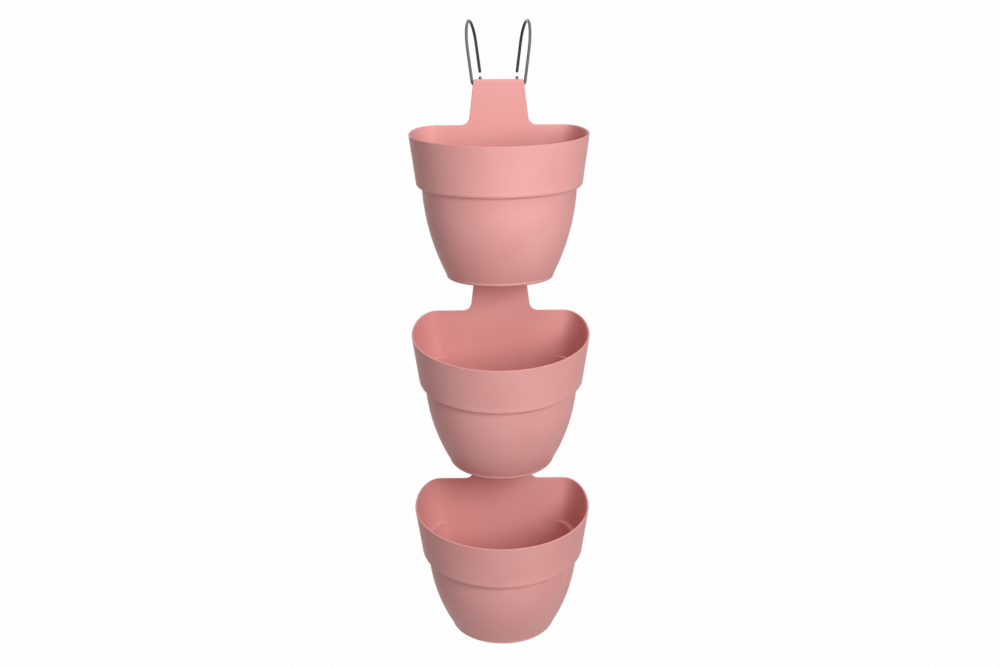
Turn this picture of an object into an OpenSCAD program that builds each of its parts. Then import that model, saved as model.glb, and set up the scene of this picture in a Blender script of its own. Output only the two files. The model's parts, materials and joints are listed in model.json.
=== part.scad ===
// Hanging three-tier planter.
// Three identical D-shaped pots hang one below another, and the top one hangs on two wire railing hooks.
// The origin is where the hooks bear on the railing, halfway between them. +X is to the right, +Y is towards
// the railing or wall, and +Z is up. Each pot is drawn in its own frame first: the middle of its back wall is
// at y = 0, its front is at -y, and its rim is at z = 0.

/* [Pot] */
// Width of a pot at its rim
pot_w = 240; // [200:1:280]
// Depth of a pot at its rim, from the flat back to the front
pot_d = 205; // [170:1:240]
// Height of a pot from its rim to the bottom of its foot
pot_h = 199.5; // [180:0.5:230]
// Thickness of the moulded wall
wall_t = 2.5; // [2:0.1:3]
// Distance of the widest line from the flat back
wide_y = 80.5; // [65:0.5:95]
// Width of the rounded corner beside the flat back, at the rim
corner_w = 34; // [18:0.5:40]

/* [Band and body] */
// Height of the plain band under the rim
band_h = 71; // [55:0.5:85]
// Width of the band at its lower edge
band_low_w = 222; // [200:0.5:230]
// Radius of the band's lower edge
band_edge_r = 5.5; // [3:0.5:6]
// Width of the body just under the band
body_top_w = 206.8; // [190:0.2:212]
// Share of the body's taper that is straight, the rest bows outwards
body_straight = 0.2; // [0:0.05:0.6]

/* [Foot] */
// Width of the foot
foot_w = 143.6; // [130:0.2:160]
// Height of the foot ring
foot_h = 4.5; // [4:0.5:6]
// Radius of the foot ring's lower edge
foot_edge_r = 4; // [3:0.5:4.5]
// Height of the floor's underside above the bottom of the foot ring
floor_up = 7; // [6:0.5:9]
// Thickness of the floor
floor_t = 2.5; // [2:0.1:4]
// Diameter of each drain hole
drain_d = 9; // [6:0.5:12]
// Number of drain holes
drain_n = 5; // [3:1:7]
// Width of the ring of drain holes
drain_ring_w = 78; // [60:1:90]
// Depth of the ring of drain holes
drain_ring_d = 56; // [44:1:66]
// Distance of the middle of that ring in front of the flat back
drain_back = 56.5; // [52:0.5:62]

/* [Neck] */
// Height of the neck above the rim
neck_h = 61.7; // [55:0.1:75]
// Width of the neck at its top
neck_top_w = 67.6; // [60:0.2:72]
// Width that the neck gains from its top to the rim
neck_flare = 14.4; // [8:0.2:20]
// Radius of the fillet between the neck and the rim
neck_fillet_r = 12; // [6:0.5:14]
// Radius of the neck's two top corners
neck_corner_r = 3; // [1:0.5:5]
// Radius of the rounded front of the neck's top edge
neck_lip_r = 2.2; // [1:0.1:2.4]

/* [Pins and ears] */
// Diameter of the hook wire, and of the pins that take its place under a pot
wire_d = 4; // [3.5:0.1:5]
// Running clearance of a pin in its hole, on the radius
pin_clear = 0.08; // [0.03:0.01:0.1]
// Distance of the hole's axis behind the flat back
hole_y = 5; // [4.8:0.1:7]
// Distance of the hole's axis below the neck's top
hole_drop = 7.7; // [6.5:0.1:9]
// Thickness of each side flange of the neck
flange_t = 2.4; // [2:0.1:3]
// Distance from each end of the neck's top to the outer face of the flange there
flange_in = 2.3; // [1.5:0.1:4]
// Radius of the round end of a flange
flange_r = 4.2; // [4:0.1:5]
// Height of a flange below its hole, where its slope leaves the neck
flange_run = 12.5; // [9:0.5:18]
// Gap between a side flange and the ear beside it
ear_gap = 0.5; // [0.3:0.1:1]
// Thickness of each ear under a pot
ear_t = 4; // [3:0.1:5]
// Radius of the round end of an ear
ear_r = 3.6; // [3.2:0.1:4]
// Height of an ear on the pot's back, above the underside of the floor
ear_root_h = 14; // [9:0.5:20]
// Height of the top of an ear's upright rear face, above the underside of the floor
ear_face_h = 4; // [2:0.5:8]
// Length of a pin beyond its side flange
pin_out = 1; // [0.5:0.1:2]
// Drop of the pin's axis below the bottom of the foot
pin_drop = 4; // [3.5:0.1:6]
// Distance of the pin's axis behind the flat back
pin_y = 5.8; // [5.6:0.1:7]

/* [Hooks] */
// Depth of the gap over the railing, between the two legs of a hook
gap_d = 66; // [50:1:80]
// Height from the holes to the top of the wire
hook_h = 84; // [76:1:110]
// Length of rear leg that is missing above the level of the holes, measured along the leg
tip_up = 6; // [2:0.5:20]
// Lean of each hook away from the middle, in degrees
lean = 7.3; // [4:0.1:10]
// Turn of each hook's rear leg towards the middle, in degrees
yaw = 9; // [0:0.5:12]
// Play between a side flange and the bend of the wire on each side of it
side_play = 0.3; // [0.2:0.1:0.8]
// Height of the upturned end above the holes
stub_up = 10.8; // [9:0.1:14]
// Radius of the wire's small bends, at the middle of the wire
bend_r = 4; // [3.5:0.1:4]

/* [Hanging] */
// Forward droop of the middle pot, in degrees
middle_tilt = 11.5; // [0:0.1:12]
// Forward droop of the bottom pot, in degrees
bottom_tilt = 13.5; // [0:0.1:15]

/* [Hidden] */
pot_colour = [0.86, 0.60, 0.59];
wire_colour = [0.24, 0.25, 0.26];
$fn = 48;

// How far each cutter reaches past what it cuts
past = 1;

wire_r = wire_d / 2;
hole_r = wire_r + pin_clear;
hole_z = neck_h - hole_drop;
flange_x = neck_top_w / 2 - flange_in;
floor_z = floor_up - pot_h;
bend_big_r = (gap_d + wire_d) / 2;

// Where the hooks bear on the railing, in the top pot's frame
bear_y = hole_y + bend_big_r * cos(yaw);
bear_z = hole_z + hook_h - wire_d;

// Middle of the pot under another one, in the frame of the one above
function turned(y, z, a) = [y * cos(a) - z * sin(a), y * sin(a) + z * cos(a)];
top_at = [-bear_y, -bear_z];
pin_at = [pin_y, -pot_h - pin_drop];
hole_at = [hole_y, hole_z];
middle_at = top_at + pin_at - turned(hole_at[0], hole_at[1], middle_tilt);
bottom_at = middle_at + turned(pin_at[0], pin_at[1], middle_tilt)
    - turned(hole_at[0], hole_at[1], bottom_tilt);

// Outline of the pot at one level: a flat back, two corner quarters and a long front half, each a quarter
// ellipse. half is the half width there, inset is how far the line lies inside the outer skin at the sides
// and the front, and back is how far it lies inside the flat back.
corner_steps = 7;
front_steps = 15;
skin_n = 2 * (corner_steps + front_steps) + 1;
function side_point(half, inset, back, i) =
    let (size = 2 * half / pot_w)
    let (flat = half - corner_w * size)
    let (wide = wide_y * size)
    let (deep = pot_d * size)
    i <= corner_steps
        ? let (a = 90 - 90 * i / corner_steps)
          [flat + (corner_w * size - inset) * cos(a), -wide + (wide - back) * sin(a)]
        : let (a = 90 * (i - corner_steps) / front_steps)
          [(half - inset) * cos(a), -wide - (deep - wide - inset) * sin(a)];
function ring(half, z, inset, back) = concat(
    [for (i = [0 : corner_steps + front_steps]) [each side_point(half, inset, back, i), z]],
    [for (i = [corner_steps + front_steps - 1 : -1 : 0])
        let (p = side_point(half, inset, back, i)) [-p[0], p[1], z]]);

// Half width of the body at height z: a straight share, and a share that bows outwards
step_slope = 1;
body_top_z = -band_h - step_slope;
body_low_z = foot_h - pot_h;
function body_half(z) =
    let (t = (body_top_z - z) / (body_top_z - body_low_z))
    let (u = body_straight * t + (1 - body_straight) * t * t)
    (body_top_w + u * (foot_w - body_top_w)) / 2;

// Half width of the band at height z
function band_half(z) = (pot_w + (band_low_w - pot_w) * z / (band_edge_r - band_h)) / 2;

// The pot's section from the hollow under the floor, round the foot, up the outside, over the rim and down
// the inside to the floor. Each entry is a half width, a height, an inset, and an inset at the flat back.
body_steps = 9;
foot_arc_z = foot_edge_r - pot_h;
foot_inner_r = foot_edge_r - wall_t;
foot_inside = [for (a = [0 : 45 : 90])
    let (inset = foot_edge_r - foot_inner_r * cos(a))
    [foot_w / 2, foot_arc_z - foot_inner_r * sin(a), inset, inset]];
foot_outside = [for (a = [90 : -30 : 0])
    let (inset = foot_edge_r * (1 - cos(a)))
    [foot_w / 2, foot_arc_z - foot_edge_r * sin(a), inset, inset]];
body_outside = [for (i = [body_steps : -1 : 0])
    let (z = body_top_z + i / body_steps * (body_low_z - body_top_z))
    [body_half(z), z, 0, 0]];
band_arc_z = band_edge_r - band_h;
band_outside = [for (a = [90 : -30 : 0])
    [band_half(band_arc_z), band_arc_z - band_edge_r * sin(a), band_edge_r * (1 - cos(a)), 0]];
rim_r = wall_t / 3;
rim = [[band_half(-rim_r), -rim_r, 0, 0], [band_half(0), 0, rim_r, rim_r],
    [band_half(0), 0, wall_t - rim_r, wall_t - rim_r], [band_half(-rim_r), -rim_r, wall_t, wall_t]];
band_inner_r = band_edge_r - wall_t;
band_inside = [for (a = [0 : 45 : 90])
    [band_half(band_arc_z), band_arc_z - band_inner_r * sin(a), band_edge_r - band_inner_r * cos(a), wall_t]];
ledge_z = body_top_z + wall_t;
floor_top_z = floor_z + floor_t;
floor_r = 4;
body_inside = concat(
    [for (i = [0 : body_steps])
        let (z = ledge_z + i / body_steps * (floor_top_z + floor_r - ledge_z))
        [body_half(min(z, body_top_z)), z, wall_t, wall_t]],
    [for (a = [45, 90])
        let (z = floor_top_z + floor_r * (1 - sin(a)))
        let (inset = wall_t + floor_r * (1 - cos(a)))
        [body_half(z), z, inset, inset]]);
section = concat([[foot_w / 2, floor_z, wall_t, wall_t]], foot_inside, foot_outside, body_outside,
    band_outside, rim, band_inside, body_inside);

module pot_skin() {
    levels = [for (s = section) ring(s[0], s[1], s[2], s[3])];
    last = len(levels) - 1;
    points = [for (level = levels) each level];
    cap_low = [for (i = [skin_n - 1 : -1 : 0]) i];
    cap_high = [for (i = [0 : skin_n - 1]) last * skin_n + i];
    sides = [for (j = [0 : last - 1]) for (i = [0 : skin_n - 1])
        let (k = (i + 1) % skin_n)
        let (a = j * skin_n + i)
        let (b = j * skin_n + k)
        each [[a, b, a + skin_n], [b, b + skin_n, a + skin_n]]];
    polyhedron(points, concat([cap_low, cap_high], sides));
}

// Upright board standing in the xz plane, its front at y0 and its back at y1
module board(y0, y1) {
    translate([0, y1, 0]) rotate([90, 0, 0]) linear_extrude(y1 - y0) children();
}

// Plate standing in the yz plane, from x0 to x1
module side_plate(x0, x1) {
    translate([x0, 0, 0]) rotate([90, 0, 90]) linear_extrude(x1 - x0) children();
}

// Round bar along x, from x0 to x1
module bar(x0, x1, r) {
    translate([x0, 0, 0]) rotate([0, 90, 0]) cylinder(h = x1 - x0, r = r);
}

// Front outline of the neck, with a fillet down to the rim on each side and a root that stands in the wall
neck_slope = atan(neck_flare / 2 / neck_h);
neck_base = (neck_top_w + neck_flare) / 2;
fillet_x = neck_base + neck_fillet_r * tan((90 - neck_slope) / 2);
corner_x = neck_top_w / 2 - neck_corner_r * (1 - sin(neck_slope)) / cos(neck_slope);
neck_root = 6;
neck_side = concat(
    [[fillet_x, -neck_root]],
    [for (i = [0 : 6])
        let (a = 270 - i / 6 * (90 - neck_slope))
        [fillet_x + neck_fillet_r * cos(a), neck_fillet_r + neck_fillet_r * sin(a)]],
    [for (i = [0 : 3])
        let (a = neck_slope + i / 3 * (90 - neck_slope))
        [corner_x + neck_corner_r * cos(a), neck_h - neck_corner_r * (1 - sin(a))]]);

lip_flat = 0.25;
lip_r = min(neck_lip_r, wall_t - lip_flat);
module neck() {
    difference() {
        board(-wall_t, 0)
            polygon(concat(neck_side,
                [for (i = [len(neck_side) - 1 : -1 : 0]) [-neck_side[i][0], neck_side[i][1]]]));
        translate([-neck_base, -wall_t, neck_h]) lip_cut(2 * neck_base, lip_r);
    }
}

// What is cut off the front of the top edge to round it
module lip_cut(length, r) {
    difference() {
        translate([0, -past, -r]) cube([length, r + past, r + past]);
        translate([0, r, -r]) bar(-past, length + past, r);
    }
}

// Side flange behind the neck, with the hole that a hook or a pin runs in. Its sloping lower edge touches the
// round end flange_turn degrees below the level of the hole.
flange_turn = 180 - atan(flange_run / hole_y) - acos(flange_r / norm([hole_y, flange_run]));
module flange(x0, x1) {
    difference() {
        side_plate(x0, x1) union() {
            polygon([[-wall_t / 2, hole_z - flange_run], [0, hole_z - flange_run],
                [hole_y + flange_r * cos(flange_turn), hole_z - flange_r * sin(flange_turn)],
                [hole_y, hole_z], [hole_y, hole_z + flange_r], [-wall_t / 2, hole_z + flange_r]]);
            translate([hole_y, hole_z]) circle(r = flange_r);
        }
        translate([0, hole_y, hole_z]) bar(x0 - past, x1 + past, hole_r);
    }
}

// Ear on the back of a pot's foot, with a pin that points away from the middle. ear_neck is how far the ear
// reaches in front of the pin's axis.
ear_out = flange_x - flange_t - ear_gap;
ear_neck = 2.3;
module ear() {
    pin_z = -pot_h - pin_drop;
    side_plate(ear_out - ear_t, ear_out) union() {
        polygon([[-wall_t / 2, floor_z], [-wall_t / 2, floor_z + ear_root_h], [0, floor_z + ear_root_h],
            [pin_y + ear_r, floor_z + ear_face_h], [pin_y + ear_r, pin_z], [pin_y - ear_neck, pin_z],
            [pin_y - ear_neck, floor_z]]);
        translate([pin_y, pin_z]) circle(r = ear_r);
    }
    translate([0, pin_y, pin_z]) bar(ear_out - ear_t / 2, flange_x + pin_out, wire_r);
}

// Recess in the back of the foot ring, where the neck of the pot below tucks in. Its roof lies notch_roof
// under the floor, and it clears the neck by notch_clear on each side.
notch_clear = 1.2;
notch_roof = 0.8;
module foot_notch() {
    half = neck_top_w / 2 + notch_clear;
    deep = hole_y + foot_edge_r;
    translate([-half, -deep, -pot_h - past])
        cube([2 * half, deep + past, floor_up - notch_roof + past]);
}

module drain_holes() {
    for (i = [0 : drain_n - 1]) {
        a = 360 * i / drain_n - 90;
        translate([drain_ring_w / 2 * cos(a), drain_ring_d / 2 * sin(a) - drain_back, floor_z - past])
            cylinder(h = floor_t + 2 * past, d = drain_d);
    }
}

module pot() {
    difference() {
        pot_skin();
        foot_notch();
        drain_holes();
    }
    neck();
    for (s = [0, 1]) mirror([s, 0, 0]) {
        flange(flange_x - flange_t, flange_x);
        ear();
    }
}

module placed_pot(at, tilt) {
    translate([0, at[0], at[1]]) rotate([tilt, 0, 0]) pot();
}

module top_planter() {
    color(pot_colour) placed_pot(top_at, 0);
}

module middle_planter() {
    color(pot_colour) placed_pot(middle_at, middle_tilt);
}

module bottom_planter() {
    color(pot_colour) placed_pot(bottom_at, bottom_tilt);
}

// Bent round wire in the plane of x and z: from +x it turns up by the angle given
module wire_bend(r, angle) {
    translate([0, 0, r]) rotate([90, 0, 0]) rotate([0, 0, -90])
        rotate_extrude(angle = angle) translate([r, 0]) circle(r = wire_r);
}

// Straight wire that stands on the level z = 0 and ends in a dome at height h
module domed_rod(h) {
    rotate_extrude() {
        square([wire_r, h - wire_r]);
        translate([0, h - wire_r]) intersection() {
            circle(r = wire_r);
            square(wire_r);
        }
    }
}

// Ball a little fuller than the wire, which joins a bend to the straight wire beside it
knuckle_extra = 0.05;
module knuckle() {
    sphere(r = wire_r + knuckle_extra);
}

// Right hook. The wire starts at the upturned end behind the neck, runs out through the flange, turns up
// into the front leg, goes over the railing and comes down as the rear leg. loop_rise is how far the leaning
// bend over the railing rises above the top of the front leg.
leg_turn = 90 - lean;
leg_tangent = bend_r * tan(leg_turn / 2);
stub_x = flange_x - flange_t - side_play - bend_r;
run_x0 = stub_x + bend_r;
run_x1 = flange_x + side_play;
leg_x = run_x1 + leg_tangent;
loop_rise = bend_big_r * (norm([cos(lean), sin(lean) * sin(yaw)]) + sin(lean) * sin(yaw));
leg_len = (hook_h - wire_r - loop_rise) / cos(lean);
module hook() {
    translate([0, top_at[0] + hole_y, top_at[1] + hole_z]) {
        translate([stub_x, 0, bend_r]) {
            knuckle();
            domed_rod(stub_up - bend_r);
        }
        translate([run_x0, 0, 0]) mirror([1, 0, 0]) wire_bend(bend_r, 90);
        bar(run_x0, run_x1, wire_r);
        for (x = [run_x0, run_x1]) translate([x, 0, 0]) rotate([0, 90, 0]) knuckle();
        translate([run_x1, 0, 0]) wire_bend(bend_r, leg_turn);
        translate([leg_x, 0, 0]) rotate([0, lean, 0]) rotate([0, 0, yaw]) loop_over_railing();
    }
}

// The front leg from the top of its lower bend, the bend over the railing, and the rear leg to its tip
module loop_over_railing() {
    translate([0, 0, leg_tangent]) cylinder(h = leg_len - leg_tangent, r = wire_r);
    translate([0, 0, leg_tangent]) knuckle();
    translate([0, bend_big_r, leg_len]) rotate([90, 0, 90])
        rotate_extrude(angle = 180) translate([bend_big_r, 0]) circle(r = wire_r);
    for (y = [0, 2 * bend_big_r]) translate([0, y, leg_len]) knuckle();
    translate([0, 2 * bend_big_r, leg_len]) mirror([0, 0, 1]) domed_rod(leg_len - tip_up);
}

module left_hook() {
    color(wire_colour) mirror([1, 0, 0]) hook();
}

module right_hook() {
    color(wire_colour) hook();
}

top_planter();
middle_planter();
bottom_planter();
left_hook();
right_hook();
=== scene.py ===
# %% [markdown]
# A hanging planter in three tiers.
# Three equal D-shaped pots of pale pink plastic hang one under another, and two bent wires carry the
# top one over a balcony railing. The construction is already made and loads as a fixed frame, with
# every piece at its real place in metres: +X to the right, +Y towards the railing and +Z up, from the
# point where the wires bear on the railing. This lesson gives that frame its looks: smooth moulded
# shells, round wire, two finishes, a camera and plain studio light.

# %% Load the frame
import json

import bmesh
import bpy
import numpy as np
from mathutils import Matrix, Vector


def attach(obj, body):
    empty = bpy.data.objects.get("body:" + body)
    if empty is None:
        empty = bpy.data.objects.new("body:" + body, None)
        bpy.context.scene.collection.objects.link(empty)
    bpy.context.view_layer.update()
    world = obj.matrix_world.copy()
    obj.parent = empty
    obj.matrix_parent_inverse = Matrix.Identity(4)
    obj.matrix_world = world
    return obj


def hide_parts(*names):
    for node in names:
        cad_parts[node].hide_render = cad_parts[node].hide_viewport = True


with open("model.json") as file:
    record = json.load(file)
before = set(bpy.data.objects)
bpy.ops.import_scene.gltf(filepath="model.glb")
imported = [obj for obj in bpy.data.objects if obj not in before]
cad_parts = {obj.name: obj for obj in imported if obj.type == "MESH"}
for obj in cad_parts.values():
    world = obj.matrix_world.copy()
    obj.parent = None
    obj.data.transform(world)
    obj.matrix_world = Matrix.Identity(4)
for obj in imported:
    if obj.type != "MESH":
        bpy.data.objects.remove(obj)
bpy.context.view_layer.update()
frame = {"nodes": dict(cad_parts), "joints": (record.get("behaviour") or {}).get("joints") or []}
MM = 0.001
print("frame loaded:", sorted(frame["nodes"]))

# %% [markdown]
# The camera comes first, because every later choice is judged through it. The photograph was taken with
# a long lens from about 3.9 m away, a little above the top pot and tilted down by 12 degrees. Those
# numbers were found by matching the rims, bands and feet of the three pots with one camera. The slight
# roll is in the photograph.

# %% Camera
CAMERA_AT = (-0.87 * MM, -3892.57 * MM, 402.50 * MM)
TILT_DOWN = np.radians(12.08)
ROLL = np.radians(-0.48)
LENS_MM = 103.54
SENSOR_MM = 36.0
FAR_CLIP_M = 100.0


def make_camera():
    """A camera looks along its own -Z, so it is rolled about Z first and then turned up from the
    ground."""
    data = bpy.data.cameras.new("camera")
    data.lens = LENS_MM
    data.sensor_width = SENSOR_MM
    data.sensor_fit = "HORIZONTAL"
    data.clip_end = FAR_CLIP_M
    camera = bpy.data.objects.new("camera", data)
    turn = Matrix.Rotation(np.pi / 2 - TILT_DOWN, 4, "X") @ Matrix.Rotation(ROLL, 4, "Z")
    camera.matrix_world = Matrix.Translation(CAMERA_AT) @ turn
    bpy.context.scene.collection.objects.link(camera)
    bpy.context.scene.camera = camera


make_camera()

# %% [markdown]
# Every new surface here is a grid: one parameter runs along the rows and the other round the columns. A
# small helper numbers the faces of such a grid with whole arrays, and another one puts points and faces
# into a mesh.

# %% Grid helpers


def grid_quads(rows, columns):
    """Faces between neighbouring rows of a grid whose columns close on themselves, as one array of
    corners."""
    index = np.arange(rows * columns).reshape(rows, columns)
    right = np.roll(index, -1, axis=1)
    return np.stack([index[:-1], right[:-1], right[1:], index[1:]], axis=-1).reshape(-1, 4)


def closed_tube(name, points):
    """Mesh of a grid of points (rows, columns, 3) in millimetres that closes on itself, with a flat cap
    on each end row. All faces are then turned to point outwards."""
    rows, columns = points.shape[:2]
    quads = grid_quads(rows, columns).tolist()
    first_cap = np.arange(columns)[::-1].tolist()
    last_cap = (np.arange(columns) + (rows - 1) * columns).tolist()
    mesh = bpy.data.meshes.new(name)
    mesh.from_pydata((points.reshape(-1, 3) * MM).tolist(), [], quads + [first_cap, last_cap])
    turned_out(mesh)
    return mesh


def turned_out(mesh):
    """Turns the faces of a closed mesh so that they all point outwards."""
    form = bmesh.new()
    form.from_mesh(mesh)
    bmesh.ops.recalc_face_normals(form, faces=form.faces)
    form.to_mesh(mesh)
    form.free()


def linked(name, mesh):
    """An object at the origin that holds the mesh."""
    piece = bpy.data.objects.new(name, mesh)
    bpy.context.scene.collection.objects.link(piece)
    return piece


def smooth_between(mesh, sharpest):
    """Shades the mesh smoothly, apart from edges that turn by more than the sharpest angle, in
    degrees."""
    mesh.shade_smooth()
    mesh.set_sharp_from_angle(angle=np.radians(sharpest))


# %% [markdown]
# A pot is one injection moulding, so it is one closed skin about 2.5 mm thick. Seen from above it is a
# D: a flat back, two corners that are each a quarter of an ellipse, and a long front that is half of
# one. All levels share this outline and only their half width changes, so the whole pot is a grid of
# levels and columns. A subdivision surface could make a similar form, but the sizes here are known, and
# a formula keeps the wall's thickness true.

# %% Sizes of a pot, in millimetres
POT_W = 240.0
POT_D = 205.0
POT_H = 199.5
WALL = 2.5
WIDE_Y = 80.5
CORNER_W = 34.0
BAND_H = 71.0
BAND_LOW_W = 222.0
BAND_EDGE_R = 5.5
BODY_TOP_W = 206.8
BODY_STRAIGHT = 0.2
STEP_SLOPE = 1.0
FOOT_W = 143.6
FOOT_H = 4.5
FOOT_EDGE_R = 4.0
FLOOR_UP = 7.0
FLOOR_T = 2.5
FLOOR_R = 4.0
LEDGE_R = 1.0
RIM_R = WALL / 3
body_top_z = -BAND_H - STEP_SLOPE
body_low_z = FOOT_H - POT_H
band_arc_z = BAND_EDGE_R - BAND_H
floor_z = FLOOR_UP - POT_H


def body_half(z):
    """Half width of the body: part of its taper is straight and the rest grows with the square of the
    depth."""
    t = (body_top_z - z) / (body_top_z - body_low_z)
    bow = BODY_STRAIGHT * t + (1 - BODY_STRAIGHT) * t * t
    return (BODY_TOP_W + bow * (FOOT_W - BODY_TOP_W)) / 2


def band_half(z):
    """Half width of the plain band, which tapers evenly from the rim to its lower edge."""
    return (POT_W + (BAND_LOW_W - POT_W) * z / band_arc_z) / 2


# %% [markdown]
# The neck is the plate that rises from the flat back and carries the holes for the hooks. It is the
# same wall as the back, so here it isn't a second piece: the rim simply climbs. Its line runs along the
# top of the neck, round a small corner, down the side, round a wide fillet and on along the rim. The
# columns of the flat back follow that line at the top and spread out below it, so the plate stays
# perfectly flat and has no seam. UNDER_NECK says how far from the middle they stand down there: below
# the middle of the neck, and below the end of its top, its corner, its side and its fillet.

# %% Line of the rim across the flat back, in millimetres
NECK_H = 61.7
NECK_TOP_W = 67.6
NECK_FLARE = 14.4
NECK_FILLET_R = 12.0
NECK_CORNER_R = 3.0
NECK_LIP_R = 2.2
NECK_REAR_R = 0.25
NECK_ROOT = 14.0
UNDER_NECK = (0.0, 22.0, 25.0, 40.0, 51.0)
TOP_STEPS = 8
TURN_STEPS = 8
SIDE_STEPS = 12
FILLET_STEPS = 14
RIM_STEPS = 12
slope = np.arctan(NECK_FLARE / 2 / NECK_H)
neck_base = (NECK_TOP_W + NECK_FLARE) / 2
fillet_x = neck_base + NECK_FILLET_R * np.tan((np.pi / 2 - slope) / 2)
corner_x = NECK_TOP_W / 2 - NECK_CORNER_R * (1 - np.sin(slope)) / np.cos(slope)
corner_z = NECK_H - NECK_CORNER_R


def round_stretch(x, z, radius, start, end, count):
    """count points on a circle about (x, z), without the first end, and the directions away from its
    middle."""
    angle = np.linspace(start, end, count + 1)[1:]
    away = np.stack([np.cos(angle), np.sin(angle)], axis=1)
    return np.array([x, z]) + radius * away, away


def straight_stretch(start, end, count):
    """count points on a line, without its start."""
    t = np.linspace(0, 1, count + 1)[1:, None]
    return np.asarray(start) + t * (np.asarray(end) - np.asarray(start))


def rim_line():
    """Right half of the rim's line across the back: points (x, z), outward normals, and for each point
    the share of the flat back's half width that lies under it. The last array is 1 on the neck's top
    and 0 on the rim."""
    side_normal = np.array([np.cos(slope), np.sin(slope)])
    up = np.array([0.0, 1.0])
    top = straight_stretch((0, NECK_H), (corner_x, NECK_H), TOP_STEPS)
    corner, corner_n = round_stretch(corner_x, corner_z, NECK_CORNER_R, np.pi / 2, slope, TURN_STEPS)
    fillet, fillet_n = round_stretch(fillet_x, NECK_FILLET_R, NECK_FILLET_R, np.pi + slope, 1.5 * np.pi,
                                     FILLET_STEPS)
    side_end = np.array([fillet_x, NECK_FILLET_R]) - NECK_FILLET_R * side_normal
    side = straight_stretch(corner[-1], side_end, SIDE_STEPS)
    flat_half = POT_W / 2 - CORNER_W
    rim = straight_stretch(fillet[-1], (flat_half, 0), RIM_STEPS)
    points = np.concatenate([[[0, NECK_H]], top, corner, side, fillet, rim])
    normals = np.concatenate([np.tile(up, (TOP_STEPS + 1, 1)), corner_n,
                              np.tile(side_normal, (SIDE_STEPS, 1)), -fillet_n,
                              np.tile(up, (RIM_STEPS, 1))])
    ends = np.cumsum([0, TOP_STEPS, TURN_STEPS, SIDE_STEPS, FILLET_STEPS, RIM_STEPS])
    column = np.arange(ends[-1] + 1)
    share = np.interp(column, ends, np.array([*UNDER_NECK, flat_half]) / flat_half)
    on_top = np.interp(column, ends, [1, 1, 0, 0, 0, 0])
    return points, normals, share, on_top


rim_points, rim_normals, rim_share, rim_on_top = rim_line()
print("neck line:", len(rim_points), "points, top at", rim_points[0], "mm")

# %% [markdown]
# The levels follow the pot's section from the hollow under the floor, round the foot ring, up the
# outside with its band, over the rounded rim and down the inside to the floor. Each level says how wide
# the outline is, how high it lies, how far inside that outline the skin runs, and how far the back has
# climbed up the neck.

# %% Levels of the section
BODY_LEVELS = 30
BAND_LEVELS = 6
CLIMBS = (0.25, 0.5, 0.75, 0.97, 1.0)


def angles(count, first=0, last=90):
    """count angles in radians, spread evenly from the first to the last, which are given in degrees."""
    return np.radians(np.linspace(first, last, count))


def levels_of_section():
    """One row for each level: half width, height, inset at the sides, inset at the back, climb up the
    neck from 0 to 1, and for the rim's rounding the share of its radius below the top and away from the
    face."""
    rows = []

    def add(half, z, inset, back, climb=0.0, below=1.0, aside=0.0):
        rows.append((half, z, inset, back, climb, below, aside))

    foot_arc_z = FOOT_EDGE_R - POT_H
    foot_inner_r = FOOT_EDGE_R - WALL
    add(FOOT_W / 2, floor_z, WALL, WALL)
    for a in angles(5):
        inset = FOOT_EDGE_R - foot_inner_r * np.cos(a)
        add(FOOT_W / 2, foot_arc_z - foot_inner_r * np.sin(a), inset, inset)
    for a in angles(8, 90, 0):
        inset = FOOT_EDGE_R * (1 - np.cos(a))
        add(FOOT_W / 2, foot_arc_z - FOOT_EDGE_R * np.sin(a), inset, inset)
    for z in np.linspace(body_low_z, body_top_z, BODY_LEVELS):
        add(body_half(z), z, 0, 0)
    for a in angles(10, 90, 0):
        inset = BAND_EDGE_R * (1 - np.cos(a))
        add(band_half(band_arc_z), band_arc_z - BAND_EDGE_R * np.sin(a), inset, 0)
    for z in np.linspace(band_arc_z, -NECK_ROOT, BAND_LEVELS)[1:]:
        add(band_half(z), z, 0, 0)
    for climb in CLIMBS:
        z = -NECK_ROOT + climb * (NECK_ROOT - RIM_R)
        add(band_half(z), z, 0, 0, climb)
    for a in angles(6)[1:]:
        below, aside = 1 - np.sin(a), 1 - np.cos(a)
        add(band_half(-RIM_R * below), -RIM_R * below, RIM_R * aside, 0, 1.0, below, aside)
    for a in angles(6, 90, 0):
        below, aside = 1 - np.sin(a), 1 - np.cos(a)
        add(band_half(-RIM_R * below), -RIM_R * below, WALL - RIM_R * aside, WALL, 1.0, below, aside)
    for climb in CLIMBS[-2::-1]:
        z = -NECK_ROOT + climb * (NECK_ROOT - RIM_R)
        add(band_half(z), z, WALL, WALL, climb)
    for z in np.linspace(-NECK_ROOT, band_arc_z, BAND_LEVELS):
        add(band_half(z), z, WALL, WALL)
    band_inner_r = BAND_EDGE_R - WALL
    for a in angles(6)[1:]:
        inset = BAND_EDGE_R - band_inner_r * np.cos(a)
        add(band_half(band_arc_z), band_arc_z - band_inner_r * np.sin(a), inset, WALL)
    ledge_z = body_top_z + WALL
    for a in angles(5):
        z = ledge_z - LEDGE_R * (1 - np.cos(a))
        add(body_half(body_top_z), z, WALL - LEDGE_R * (1 - np.sin(a)), WALL)
    for z in np.linspace(ledge_z - LEDGE_R, floor_z + FLOOR_T + FLOOR_R, BODY_LEVELS)[1:]:
        add(body_half(min(z, body_top_z)), z, WALL, WALL)
    for a in angles(7)[1:]:
        z = floor_z + FLOOR_T + FLOOR_R * (1 - np.sin(a))
        inset = WALL + FLOOR_R * (1 - np.cos(a))
        add(body_half(z), z, inset, inset)
    return np.array(rows)


section = levels_of_section()
print("section:", len(section), "levels")

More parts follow.
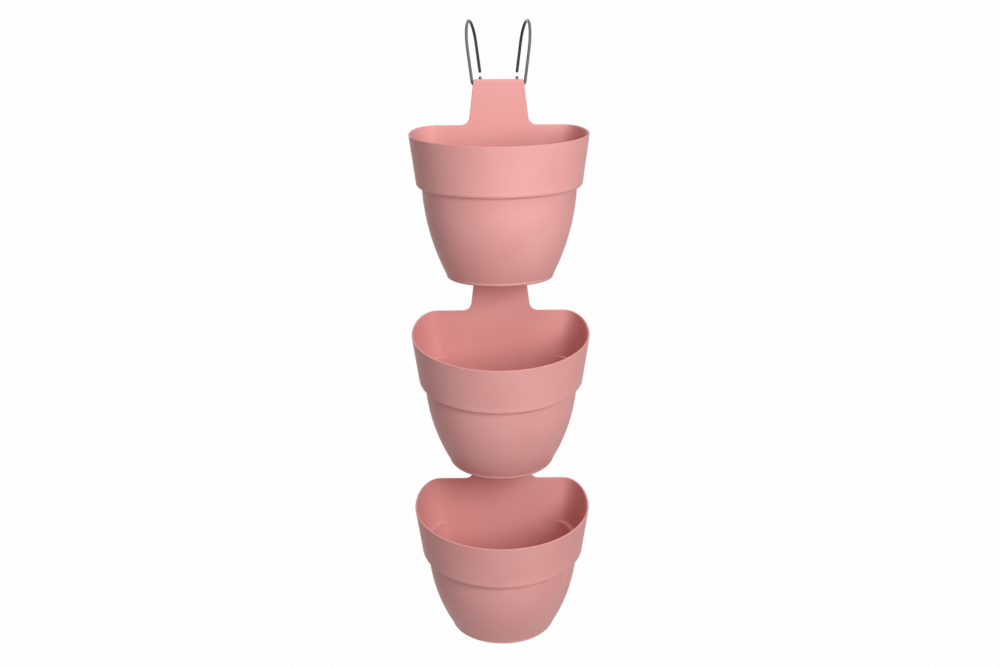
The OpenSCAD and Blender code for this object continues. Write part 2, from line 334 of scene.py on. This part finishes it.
# %% [markdown]
# Now the grid itself. Away from the neck a column is a point of the D at each level. Across the back it
# follows the rim's line, and the rounding of the edge is taken along that line's own normal, so that
# the neck's top, sides and fillets get the same rounded edge as the rim. The front edge of the neck's
# top is rounder than the rest, which shows in the photograph as a soft darker line.

# %% Skin of a pot
CORNER_STEPS = 20
FRONT_STEPS = 44


def half_columns(levels):
    """Points of the right half of every level: back, corner and front, from the middle of the back
    forwards. The corner is (flat + (corner - inset) cos a, -wide + (wide - back) sin a) and the front
    is ((half - inset) cos a, -wide - (deep - wide - inset) sin a), with the sizes scaled by the level's
    width."""
    half, z, inset, back, climb, below, aside = (levels[:, i:i + 1] for i in range(7))
    size = 2 * half / POT_W
    flat = half - CORNER_W * size
    wide = WIDE_Y * size
    deep = POT_D * size
    bowl_side = back > 0
    towards_middle = np.where(bowl_side, -aside, aside)
    radius = RIM_R + (np.where(bowl_side, NECK_LIP_R, NECK_REAR_R) - RIM_R) * rim_on_top
    low_flat = band_half(-NECK_ROOT) * (1 - 2 * CORNER_W / POT_W)
    low = np.stack([rim_share * low_flat, np.full_like(rim_share, -NECK_ROOT)], axis=-1)
    edge = rim_points - rim_normals * (radius * below)[..., None]
    climbed = low + (edge - low) * climb[..., None]
    on_neck = climb > 0
    back_x = np.where(on_neck, climbed[..., 0], rim_share * flat)
    back_y = -back - radius * towards_middle
    back_z = np.where(on_neck, climbed[..., 1], z)
    angle = angles(CORNER_STEPS + 1, 90, 0)[1:]
    corner_px = flat + (CORNER_W * size - inset) * np.cos(angle)
    corner_py = -wide + (wide - back - RIM_R * towards_middle) * np.sin(angle)
    angle = angles(FRONT_STEPS + 1)[1:]
    front_px = (half - inset) * np.cos(angle)
    front_py = -wide - (deep - wide - inset) * np.sin(angle)
    x = np.concatenate([back_x, corner_px, front_px], axis=1)
    y = np.concatenate([back_y, corner_py, front_py], axis=1)
    z = np.concatenate([back_z, np.tile(z, (1, CORNER_STEPS + FRONT_STEPS))], axis=1)
    return np.stack([x, y, z], axis=-1)


def whole_levels(levels):
    """The right half of every level and its mirror image, as one closed outline. The two columns in the
    mirror plane are used once. The order is turned so that the faces look out of the wall."""
    right = half_columns(levels)
    left = right[:, -2:0:-1] * np.array([-1, 1, 1])
    return np.concatenate([right, left], axis=1)[:, ::-1]


skin = closed_tube("pot_skin", whole_levels(section))
print("skin:", len(skin.polygons), "faces")

# %% [markdown]
# Small parts of the moulding are cut and joined with Boolean modifiers, as a tool maker cuts a mould:
# five drain holes in the floor, the notch that the next neck tucks into, and behind the neck and foot
# the flanges and ears. Each cutter or lug is an outline in one plane, pushed through along one axis,
# and the lugs have their edges broken by a bevel.

# %% Cutters and lugs, in millimetres and degrees
DRAIN_D = 9.0
DRAIN_N = 5
DRAIN_RING_W = 78.0
DRAIN_RING_D = 56.0
DRAIN_BACK = 56.5
NOTCH_CLEAR = 1.2
NOTCH_ROOF = 0.8
WIRE_D = 4.0
PIN_CLEAR = 0.08
HOLE_Y = 5.0
HOLE_DROP = 7.7
FLANGE_T = 2.4
FLANGE_IN = 2.3
FLANGE_R = 4.2
FLANGE_RUN = 12.5
EAR_GAP = 0.5
EAR_T = 4.0
EAR_R = 3.6
EAR_NECK = 2.3
EAR_ROOT_H = 14.0
EAR_FACE_H = 4.0
PIN_OUT = 1.0
PIN_DROP = 4.0
PIN_Y = 5.8
PIN_DOME = 0.8
LUG_BEVEL = 0.4
BEVEL_OVER = 40.0
CUT_PAST = 1.0
AROUND_HOLE = 48
SHARPEST = 22.0
hole_z = NECK_H - HOLE_DROP
flange_x = NECK_TOP_W / 2 - FLANGE_IN
ear_out = flange_x - FLANGE_T - EAR_GAP
pin_z = -POT_H - PIN_DROP
wire_r = WIRE_D / 2


def pushed(name, outline, start, end, axis):
    """Solid from a flat outline of (first, second) points, pushed along the axis, 0 for x or 2 for z,
    from start to end. The outline's two numbers are the two coordinates that are left, in order."""
    outline = np.asarray(outline, float)
    rest = [i for i in range(3) if i != axis]
    points = np.zeros((2, len(outline), 3))
    points[:, :, rest] = outline
    points[0, :, axis] = start
    points[1, :, axis] = end
    return closed_tube(name, points)


def circle_points(first, second, radius, count=AROUND_HOLE, start=0.0, end=2 * np.pi):
    """Points on a circle or, with a start and an end in radians, on part of one with both ends."""
    whole = np.isclose(end - start, 2 * np.pi)
    angle = np.linspace(start, end, count, endpoint=not whole)
    return np.stack([first + radius * np.cos(angle), second + radius * np.sin(angle)], axis=1)


def turned_rod(name, radius, start, end, dome, y, z):
    """Round bar along x, whose far end is rounded by an arc of the dome's radius."""
    angle = angles(7)[:-1]
    along = np.concatenate([[start], end - dome * (1 - np.sin(angle)), [end]])
    around = np.concatenate([[radius], radius - dome * (1 - np.cos(angle)), [radius - dome]])
    turn = np.linspace(0, 2 * np.pi, AROUND_HOLE, endpoint=False)
    points = np.stack(np.broadcast_arrays(along[:, None], y + around[:, None] * np.cos(turn),
                                          z + around[:, None] * np.sin(turn)), axis=-1)
    return closed_tube(name, points)


def flange_outline():
    """A slope out of the neck's back that runs into a round end about the hole, in the yz plane. The
    slope touches the round end at the angle where the two are tangent."""
    touch = -(np.pi - np.arctan(FLANGE_RUN / HOLE_Y) - np.arccos(FLANGE_R / np.hypot(HOLE_Y, FLANGE_RUN)))
    round_end = circle_points(HOLE_Y, hole_z, FLANGE_R, 20, touch, np.pi / 2)
    return np.concatenate([[[-WALL / 2, hole_z - FLANGE_RUN], [0, hole_z - FLANGE_RUN]], round_end,
                           [[-WALL / 2, hole_z + FLANGE_R]]])


def ear_outline():
    """A lug on the back of the foot that ends in a circle about the pin, in the yz plane. The circle is
    followed until it meets the lug's front edge."""
    meets = -np.pi - np.arccos(EAR_NECK / EAR_R)
    round_end = circle_points(PIN_Y, pin_z, EAR_R, 30, 0, meets)
    return np.concatenate([[[PIN_Y - EAR_NECK, floor_z], [-WALL / 2, floor_z],
                            [-WALL / 2, floor_z + EAR_ROOT_H], [0, floor_z + EAR_ROOT_H],
                            [PIN_Y + EAR_R, floor_z + EAR_FACE_H]], round_end])


def joined(name, meshes):
    """One mesh that holds all the closed shells of the meshes given."""
    form = bmesh.new()
    for mesh in meshes:
        form.from_mesh(mesh)
    whole = bpy.data.meshes.new(name)
    form.to_mesh(whole)
    form.free()
    return whole


def mirrored(mesh):
    """A copy on the other side of the plane x = 0, with its faces turned outwards again."""
    other = mesh.copy()
    other.transform(Matrix.Scale(-1, 4, (1, 0, 0)))
    other.flip_normals()
    return other


def combined(name, base, bevel=0.0, cut=None, add=None):
    """The base mesh with its edges broken by a bevel, in millimetres, then one mesh cut out of it and
    another joined to it. The modifiers are worked out, so that the result is a plain mesh."""
    piece = linked(name, base)
    if bevel:
        edge = piece.modifiers.new("broken edges", "BEVEL")
        edge.width = bevel * MM
        edge.segments = 2
        edge.limit_method = "ANGLE"
        edge.angle_limit = np.radians(BEVEL_OVER)
    tools = []
    for operation, mesh in (("DIFFERENCE", cut), ("UNION", add)):
        if mesh is not None:
            tools.append(linked(operation.lower(), mesh))
            step = piece.modifiers.new(operation.lower(), "BOOLEAN")
            step.operation = operation
            step.solver = "EXACT"
            step.object = tools[-1]
    bpy.context.view_layer.update()
    seen = piece.evaluated_get(bpy.context.evaluated_depsgraph_get())
    mesh = bpy.data.meshes.new_from_object(seen)
    mesh.name = name
    for used in [piece, *tools]:
        bpy.data.objects.remove(used)
    return mesh


# %% Cut and join the moulding
flange = pushed("flange", flange_outline(), flange_x - FLANGE_T, flange_x, 0)
bore_rim = circle_points(HOLE_Y, hole_z, wire_r + PIN_CLEAR)
bore = pushed("bore", bore_rim, flange_x - FLANGE_T - CUT_PAST, flange_x + CUT_PAST, 0)
flange = combined("flange", flange, LUG_BEVEL, cut=bore)
ear = pushed("ear", ear_outline(), ear_out - EAR_T, ear_out, 0)
pin = turned_rod("pin", wire_r, ear_out - EAR_T / 2, flange_x + PIN_OUT, PIN_DOME, PIN_Y, pin_z)
ear = combined("ear", ear, LUG_BEVEL, add=pin)
lugs = joined("lugs", [flange, mirrored(flange), ear, mirrored(ear)])

notch_half = NECK_TOP_W / 2 + NOTCH_CLEAR
notch_deep = HOLE_Y + FOOT_EDGE_R
notch_corners = [[-notch_half, -notch_deep], [notch_half, -notch_deep], [notch_half, CUT_PAST],
                 [-notch_half, CUT_PAST]]
cutters = [pushed("notch", notch_corners, -POT_H - CUT_PAST, floor_z - NOTCH_ROOF, 2)]
for turn in 2 * np.pi * np.arange(DRAIN_N) / DRAIN_N - np.pi / 2:
    hole_x = DRAIN_RING_W / 2 * np.cos(turn)
    hole_y = DRAIN_RING_D / 2 * np.sin(turn) - DRAIN_BACK
    rim = circle_points(hole_x, hole_y, DRAIN_D / 2)
    cutters.append(pushed("drain", rim, floor_z - CUT_PAST, floor_z + FLOOR_T + CUT_PAST, 2))
pot = combined("pot", skin, cut=joined("cutters", cutters), add=lugs)
smooth_between(pot, SHARPEST)
print("pot:", len(pot.polygons), "faces, lugs and holes in place")

# %% [markdown]
# The three pots are the same moulding, so one mesh is copied three times and each copy is turned into
# its place. The top one hangs upright. Each lower one hangs by the two holes in its neck on the pins
# under the pot above, and droops forward by the angle that the photograph shows. The joints of the
# frame say where the holes are.

# %% Place the three pots
TILTS = {"top_planter": 0.0, "middle_planter": 11.5, "bottom_planter": 13.5}
PINS_OF = {joint["child"]: joint["pos_m"] for joint in frame["joints"]}


def hung(mesh, name, tilt):
    """A copy of the pot, turned about the holes in its neck and moved so that they lie on the joint's
    axis."""
    to_holes = Matrix.Translation((0, -HOLE_Y * MM, -hole_z * MM))
    turn = Matrix.Rotation(np.radians(tilt), 4, "X")
    copy = mesh.copy()
    copy.name = name
    copy.transform(Matrix.Translation(PINS_OF[name]) @ turn @ to_holes)
    return linked(name + "_moulding", copy)


pots = {}
for name, tilt in TILTS.items():
    pots[name] = hung(pot, name, tilt)
    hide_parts(name)
    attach(pots[name], name)
print("pots hung on the axes at", [tuple(round(v, 4) for v in PINS_OF[name]) for name in TILTS])

# %% [markdown]
# Each hook is one length of 4 mm wire, bent cold. From a short upturned end behind the neck it runs out
# through the hole in the flange, turns up into the front leg, goes over the rail in a half circle and
# comes down again as the rear leg. A Blender curve with a round bevel could draw it, but its twist and
# its ends would be rougher. So the middle line is worked out from straight lines and arcs, and a circle
# is carried along it. The upturned end is cut flat with its edge broken, and the rear tip, which
# somebody has to thread over the rail, is a dome.

# %% Sizes of a hook, in millimetres and degrees
GAP_D = 66.0
HOOK_H = 84.0
TIP_UP = 6.0
LEAN = np.radians(7.3)
YAW = np.radians(9.0)
SIDE_PLAY = 0.3
STUB_UP = 10.8
BEND_R = 4.0
CUT_EDGE_R = 0.5
AROUND_WIRE = 32
BEND_STEPS = 10
LEG_STEPS = 28
LOOP_STEPS = 60
REAR_STEPS = 20
CUT_RINGS = 6
DOME_RINGS = 7
leg_turn = np.pi / 2 - LEAN
leg_tangent = BEND_R * np.tan(leg_turn / 2)
run_start = flange_x - FLANGE_T - SIDE_PLAY
run_end = flange_x + SIDE_PLAY
rail_r = (GAP_D + WIRE_D) / 2
loop_rise = rail_r * (np.hypot(np.cos(LEAN), np.sin(LEAN) * np.sin(YAW)) + np.sin(LEAN) * np.sin(YAW))
leg_len = (HOOK_H - wire_r - loop_rise) / np.cos(LEAN)
leg_up = np.array([np.sin(LEAN), 0, np.cos(LEAN)])
leg_back = np.array([-np.cos(LEAN) * np.sin(YAW), np.cos(YAW), np.sin(LEAN) * np.sin(YAW)])
loop_across = np.cross(leg_back, leg_up)


def arc_in_xz(x, z, start, end, count):
    """Points on a small bend about (x, z) in the plane y = 0, without its first end."""
    angle = np.radians(np.linspace(start, end, count + 1)[1:])
    return np.stack([x + BEND_R * np.cos(angle), np.zeros(count), z + BEND_R * np.sin(angle)], axis=1)


def hook_line():
    """Middle line of the right hook, from its upturned end to its rear tip, measured from the axis of
    the holes, and at each point a direction across the wire. That direction turns from the y axis to
    the loop's own normal on the way up the front leg, so the skin of the wire twists evenly and nowhere
    folds."""
    foot = np.array([run_end + leg_tangent, 0, 0])
    stub = straight_stretch((run_start - BEND_R, 0, STUB_UP - wire_r), (run_start - BEND_R, 0, BEND_R), 5)
    run = straight_stretch((run_start, 0, 0), (run_end, 0, 0), 4)
    leg = straight_stretch(foot + leg_tangent * leg_up, foot + leg_len * leg_up, LEG_STEPS)
    t = np.linspace(0, np.pi, LOOP_STEPS + 1)[1:, None]
    top = foot + leg_len * leg_up + rail_r * leg_back
    loop = top - rail_r * np.cos(t) * leg_back + rail_r * np.sin(t) * leg_up
    rear = straight_stretch(loop[-1], loop[-1] - (leg_len - TIP_UP - wire_r) * leg_up, REAR_STEPS)
    low = np.concatenate([[[run_start - BEND_R, 0, STUB_UP - wire_r]], stub,
                          arc_in_xz(run_start, BEND_R, 180, 270, BEND_STEPS), run,
                          arc_in_xz(run_end, BEND_R, 270, 270 + np.degrees(leg_turn), BEND_STEPS)])
    line = np.concatenate([low, leg, loop, rear])
    after_leg = np.ones(len(loop) + len(rear))
    turned = np.concatenate([np.zeros(len(low)), np.linspace(0, 1, LEG_STEPS), after_leg])[:, None]
    turned = np.pi / 2 * turned * turned * (3 - 2 * turned)
    return line, np.cos(turned) * np.array([0, 1, 0]) + np.sin(turned) * loop_across


def wire_along(line, across):
    """Grid of points on a round wire: at each point of the line a circle of the wire's radius, in the
    plane of the direction across and its cross product with the line's own direction. The first end is
    cut flat and the last one is half a ball. Also gives each row's distance along the wire in
    millimetres."""
    step = np.linalg.norm(np.diff(line, axis=0), axis=1)
    along = np.concatenate([[0], np.cumsum(step)])
    ahead = np.gradient(line, along, axis=0)
    ahead /= np.linalg.norm(ahead, axis=1, keepdims=True)
    across = across - ahead * np.sum(across * ahead, axis=1, keepdims=True)
    across /= np.linalg.norm(across, axis=1, keepdims=True)
    dome = angles(DOME_RINGS, 12, 84)
    cut = angles(CUT_RINGS, 90, 0)
    flat = wire_r - CUT_EDGE_R
    push = np.concatenate([-flat - CUT_EDGE_R * np.sin(cut), np.zeros(len(line)), wire_r * np.sin(dome)])
    radius = np.concatenate([flat + CUT_EDGE_R * np.cos(cut), np.full(len(line), wire_r),
                             wire_r * np.cos(dome)])
    row = np.concatenate([np.zeros(CUT_RINGS, int), np.arange(len(line)),
                          np.full(DOME_RINGS, len(line) - 1)])
    centre = line[row] + push[:, None] * ahead[row]
    turn = np.linspace(0, 2 * np.pi, AROUND_WIRE, endpoint=False)[None, :, None]
    ring = np.cos(turn) * across[row][:, None] + np.sin(turn) * np.cross(ahead, across)[row][:, None]
    return centre[:, None] + radius[:, None, None] * ring, along[row] + push


# %% Bend the two hooks
wire_points, wire_row_mm = wire_along(*hook_line())
hole_axis = np.array(PINS_OF["top_planter"]) / MM
right_wire = closed_tube("right_wire", wire_points + hole_axis)
travel = right_wire.attributes.new("along", "FLOAT", "POINT")
travel.data.foreach_set("value", np.repeat(wire_row_mm, AROUND_WIRE).astype(np.float32))
left_wire = mirrored(right_wire)
hooks = {"left_hook": linked("left_hook_wire", left_wire),
         "right_hook": linked("right_hook_wire", right_wire)}
for name, hook in hooks.items():
    smooth_between(hook.data, SHARPEST)
    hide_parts(name)
    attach(hook, name)
print("hooks:", len(right_wire.polygons), "faces each, wire", round(float(wire_row_mm[-1]), 1), "mm long")

# %% [markdown]
# Finishes come next. Colours are written as sRGB hex values, as a picture editor shows them, and one
# function turns them into the linear numbers that the shader needs. A second small function adds a
# node, sets its properties and inputs by name and links its inputs, which keeps a material down to one
# call for each node.

# %% Colour and node helpers


def linear(hex_colour):
    """Linear RGBA of an sRGB hex colour: c / 12.92 below 0.04045, and ((c + 0.055) / 1.055) ** 2.4
    above it."""
    c = np.array([int(hex_colour[i:i + 2], 16) for i in (1, 3, 5)]) / 255
    return (*np.where(c <= 0.04045, c / 12.92, ((c + 0.055) / 1.055) ** 2.4).tolist(), 1.0)


def add_node(tree, kind, **given):
    """Adds a node. Each name given is a property of the node or one of its inputs, with underscores for
    spaces, or an input's number after the word input. A socket as the value is linked, and anything
    else is set."""
    node = tree.nodes.new(kind)
    for name, value in given.items():
        if name.startswith("input"):
            socket = node.inputs[int(name[5:])]
        elif hasattr(node, name):
            setattr(node, name, value)
            continue
        else:
            socket = node.inputs[name.replace("_", " ")]
        if isinstance(value, bpy.types.NodeSocket):
            tree.links.new(value, socket)
        else:
            socket.default_value = value
    return node


def new_material(name):
    """An empty node material and its tree."""
    material = bpy.data.materials.new(name)
    material.use_nodes = True
    material.node_tree.nodes.clear()
    return material, material.node_tree


# %% [markdown]
# The pots are polypropylene, moulded in a steel tool with a fine spark-eroded texture. That gives the
# eye an even colour with a broad, soft highlight, and no sharp reflections. The real grain is about 0.3
# mm across, too fine to show from 3.9 m away, so it is drawn 2.5 mm across and very shallow. Dyed
# plastic is also never perfectly even: pigment flows in broad streaks, drawn about 80 mm across, and
# handling polishes it a little in patches. The pots in the photograph mirror something dark at their
# sides. Here all that surrounds them is white, so the shine is far below the usual 0.5. At 0.5 their
# edges would turn pale.

# %% Moulded polypropylene
PINK = "#E7A7A4"
PINK_DEEP = "#E39F9C"
GRAIN_MM = 2.5
STREAK_MM = 80.0
POLISH_MM = 26.0
PLASTIC_ROUGH = (0.43, 0.5)
PLASTIC_IOR = 1.49
PLASTIC_SHINE = 0.08
GRAIN_STRENGTH = 0.12
GRAIN_DEEP = 0.0002
NOISE_LOW = 0.3
NOISE_HIGH = 0.7


def moulded_polypropylene():
    """Spark-eroded polypropylene, dyed pale pink."""
    material, tree = new_material("moulded_polypropylene")
    place = add_node(tree, "ShaderNodeTexCoord").outputs["Object"]
    streak = add_node(tree, "ShaderNodeTexNoise", Vector=place, Scale=1 / (STREAK_MM * MM), Detail=3.0)
    share = add_node(tree, "ShaderNodeMapRange", Value=streak.outputs["Fac"], From_Min=NOISE_LOW,
                     From_Max=NOISE_HIGH)
    colour = add_node(tree, "ShaderNodeMix", data_type="RGBA", Factor=share.outputs["Result"],
                      input6=linear(PINK), input7=linear(PINK_DEEP))
    polish = add_node(tree, "ShaderNodeTexNoise", Vector=place, Scale=1 / (POLISH_MM * MM), Detail=4.0)
    rough = add_node(tree, "ShaderNodeMapRange", Value=polish.outputs["Fac"], From_Min=NOISE_LOW,
                     From_Max=NOISE_HIGH, To_Min=PLASTIC_ROUGH[0], To_Max=PLASTIC_ROUGH[1])
    grain = add_node(tree, "ShaderNodeTexNoise", Vector=place, Scale=1 / (GRAIN_MM * MM), Detail=2.0)
    bump = add_node(tree, "ShaderNodeBump", Height=grain.outputs["Fac"], Strength=GRAIN_STRENGTH,
                    Distance=GRAIN_DEEP)
    surface = add_node(tree, "ShaderNodeBsdfPrincipled", Base_Color=colour.outputs[2],
                       Roughness=rough.outputs["Result"], IOR=PLASTIC_IOR,
                       Specular_IOR_Level=PLASTIC_SHINE, Normal=bump.outputs["Normal"])
    add_node(tree, "ShaderNodeOutputMaterial", Surface=surface.outputs["BSDF"])
    return material


# %% [markdown]
# The wire is steel with a baked polyester powder coat, which is smooth and slightly glossy. In the
# photograph the front legs are mid grey, and from the top of the bend to the rear tip the wire is
# nearly black. That dark rear part is painted shade: the coat's colour turns near black there. The
# change follows the wire, so it reads the distance that is stored on the mesh. Powder coat has a faint
# orange peel, about 1 mm across, which is drawn 2 mm across. Its shine is somewhat below the usual
# 0.5 too, or the tops of the bends would vanish in the white behind them.

# %% Coated wire
WIRE_GREY = "#666668"
# The second colour below is painted shade: it makes the rear of the wire near black.
WIRE_PAINTED_SHADE = "#28292B"
PEEL_MM = 2.0
WIRE_ROUGH = (0.42, 0.52)
WIRE_IOR = 1.5
WIRE_SHINE = 0.3
PEEL_STRENGTH = 0.1
PEEL_DEEP = 0.0002
# The painted shade on the wire starts this share of the half loop before the rear leg, and fades in over
# a few millimetres.
SHADE_FROM_LOOP = 0.46
SHADE_FADE_MM = 3.0
shade_start = float(wire_row_mm[-1]) - (leg_len - TIP_UP) - SHADE_FROM_LOOP * np.pi * rail_r
shade_end = shade_start + SHADE_FADE_MM


def powder_coated_wire():
    """Powder-coated steel wire, with painted shade in its colour from just past the top of the bend to
    the rear tip.
    """
    material, tree = new_material("powder_coated_steel")
    place = add_node(tree, "ShaderNodeTexCoord").outputs["Object"]
    along = add_node(tree, "ShaderNodeAttribute", attribute_name="along")
    # How much painted shade each point takes, by its distance along the wire.
    painted_shade = add_node(tree, "ShaderNodeMapRange", Value=along.outputs["Fac"], From_Min=shade_start,
                      From_Max=shade_end)
    peel = add_node(tree, "ShaderNodeTexNoise", Vector=place, Scale=1 / (PEEL_MM * MM), Detail=1.0)
    colour = add_node(tree, "ShaderNodeMix", data_type="RGBA", Factor=painted_shade.outputs["Result"],
                      input6=linear(WIRE_GREY), input7=linear(WIRE_PAINTED_SHADE))
    rough = add_node(tree, "ShaderNodeMapRange", Value=peel.outputs["Fac"], To_Min=WIRE_ROUGH[0],
                     To_Max=WIRE_ROUGH[1])
    bump = add_node(tree, "ShaderNodeBump", Height=peel.outputs["Fac"], Strength=PEEL_STRENGTH,
                    Distance=PEEL_DEEP)
    surface = add_node(tree, "ShaderNodeBsdfPrincipled", Base_Color=colour.outputs[2],
                       Roughness=rough.outputs["Result"], IOR=WIRE_IOR,
                       Specular_IOR_Level=WIRE_SHINE, Normal=bump.outputs["Normal"])
    add_node(tree, "ShaderNodeOutputMaterial", Surface=surface.outputs["BSDF"])
    return material


# %% Give each piece its finish
plastic = moulded_polypropylene()
wire = powder_coated_wire()
for piece in pots.values():
    piece.data.materials.clear()
    piece.data.materials.append(plastic)
for piece in hooks.values():
    piece.data.materials.clear()
    piece.data.materials.append(wire)
print("finishes:", plastic.name, "and", wire.name)

# %% [markdown]
# The planter hangs in a white studio. The world and the floor show white to the camera and in
# reflections, but light the object only at a plain level. A large soft lamp stands in front on the
# right, a little above the pots, so their left insides are bright and their right insides dark, as in
# the photograph. A weaker one hangs above and lights the top neck and the rims. The one behind hardly
# reaches what the photograph shows, and is there for whoever looks at the ears and pins from the back.

# %% Floor, world and lamps
FLOOR_AT = -2.6
FLOOR_SIZE = 120.0
FLOOR_GREY = (0.8, 0.8, 0.8, 1.0)
FLOOR_WHITE = 0.985
AMBIENT = 0.28
WHITE = (1.0, 1.0, 1.0, 1.0)


def white_to_eye(tree, seen, lighting):
    """Mixes two shaders: the first where the camera, a reflection or a view through glass meets the
    surface, and the second for everything else."""
    path = add_node(tree, "ShaderNodeLightPath")
    either = add_node(tree, "ShaderNodeMath", operation="MAXIMUM", input0=path.outputs["Is Camera Ray"],
                      input1=path.outputs["Is Glossy Ray"])
    any_view = add_node(tree, "ShaderNodeMath", operation="MAXIMUM", input0=either.outputs[0],
                        input1=path.outputs["Is Transmission Ray"])
    return add_node(tree, "ShaderNodeMixShader", input0=any_view.outputs[0], input1=lighting, input2=seen)


def pale_floor():
    """A wide plane far below. It looks white, and takes a faint share of shadow."""
    mesh = bpy.data.meshes.new("floor")
    corner = FLOOR_SIZE / 2
    corners = [(-corner, -corner, FLOOR_AT), (corner, -corner, FLOOR_AT), (corner, corner, FLOOR_AT),
               (-corner, corner, FLOOR_AT)]
    mesh.from_pydata(corners, [], [(0, 1, 2, 3)])
    material, tree = new_material("floor_paint")
    paint = add_node(tree, "ShaderNodeBsdfDiffuse", Color=FLOOR_GREY)
    glow = add_node(tree, "ShaderNodeEmission", Color=WHITE, Strength=1.0)
    seen = add_node(tree, "ShaderNodeMixShader", input0=FLOOR_WHITE, input1=paint.outputs[0],
                    input2=glow.outputs[0])
    mixed = white_to_eye(tree, seen.outputs[0], paint.outputs[0])
    add_node(tree, "ShaderNodeOutputMaterial", Surface=mixed.outputs[0])
    mesh.materials.append(material)
    floor = linked("floor", mesh)


def white_world():
    """World that looks white and lights the object with a share of that."""
    world = bpy.data.worlds.new("studio")
    bpy.context.scene.world = world
    world.use_nodes = True
    tree = world.node_tree
    tree.nodes.clear()
    seen = add_node(tree, "ShaderNodeBackground", Color=WHITE, Strength=1.0)
    lighting = add_node(tree, "ShaderNodeBackground", Color=WHITE, Strength=AMBIENT)
    mixed = white_to_eye(tree, seen.outputs[0], lighting.outputs[0])
    add_node(tree, "ShaderNodeOutputWorld", Surface=mixed.outputs[0])


def soft_lamp(name, place, aim, width, height, watts):
    """A rectangular softbox at a place, in metres, turned to shine at its aim."""
    data = bpy.data.lights.new(name, "AREA")
    data.shape = "RECTANGLE"
    data.size = width
    data.size_y = height
    data.energy = watts
    lamp = bpy.data.objects.new(name, data)
    lamp.location = place
    lamp.rotation_euler = (Vector(aim) - Vector(place)).to_track_quat("-Z", "Y").to_euler()
    bpy.context.scene.collection.objects.link(lamp)


pale_floor()
white_world()
soft_lamp("key", (1.2, -3.1, 0.5), (0, -0.1, -0.42), 1.3, 1.3, 80)
soft_lamp("above", (0.5, -1.8, 2.3), (0, -0.1, -0.4), 1.2, 1.2, 29)
soft_lamp("behind", (-1.2, 2.6, 0.5), (0, -0.1, -0.45), 1.4, 1.4, 22)
bpy.context.scene.view_settings.view_transform = "Standard"
print("studio ready")
